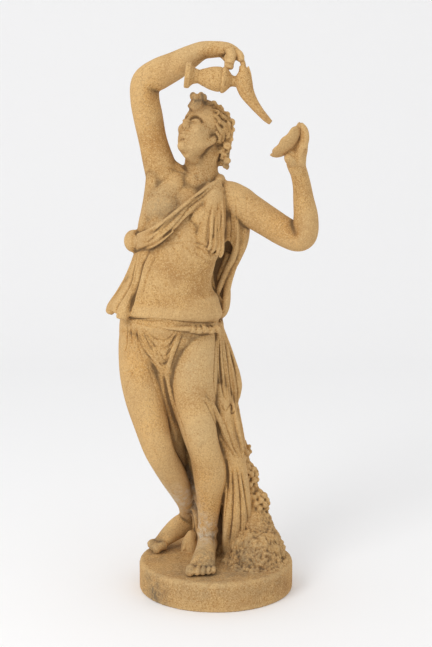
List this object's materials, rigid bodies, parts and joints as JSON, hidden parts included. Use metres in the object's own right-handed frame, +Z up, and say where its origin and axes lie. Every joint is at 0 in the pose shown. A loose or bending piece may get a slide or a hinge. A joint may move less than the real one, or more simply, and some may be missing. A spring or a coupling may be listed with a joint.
{
  "type": "terracotta garden statue",
  "caption": "Draped female figure in terracotta standing on a round plinth, pouring from a ewer held over her head into a shallow cup.",
  "frame": {"origin": "centre of the round plinth's underside", "axes": "+Z up from the plinth's underside; the figure faces -Y; +X is the side of her left arm, which holds the cup"},
  "size_m": [0.3852, 0.288, 1.0025],
  "materials": {
    "terracotta": "dry unglazed fired clay, golden buff, sandy and pin-holed, with dark lichen stains and pale lime bloom"
  },
  "bodies": {
    "root": {"bacchante_figure": "terracotta"}
  },
  "joints": []
}
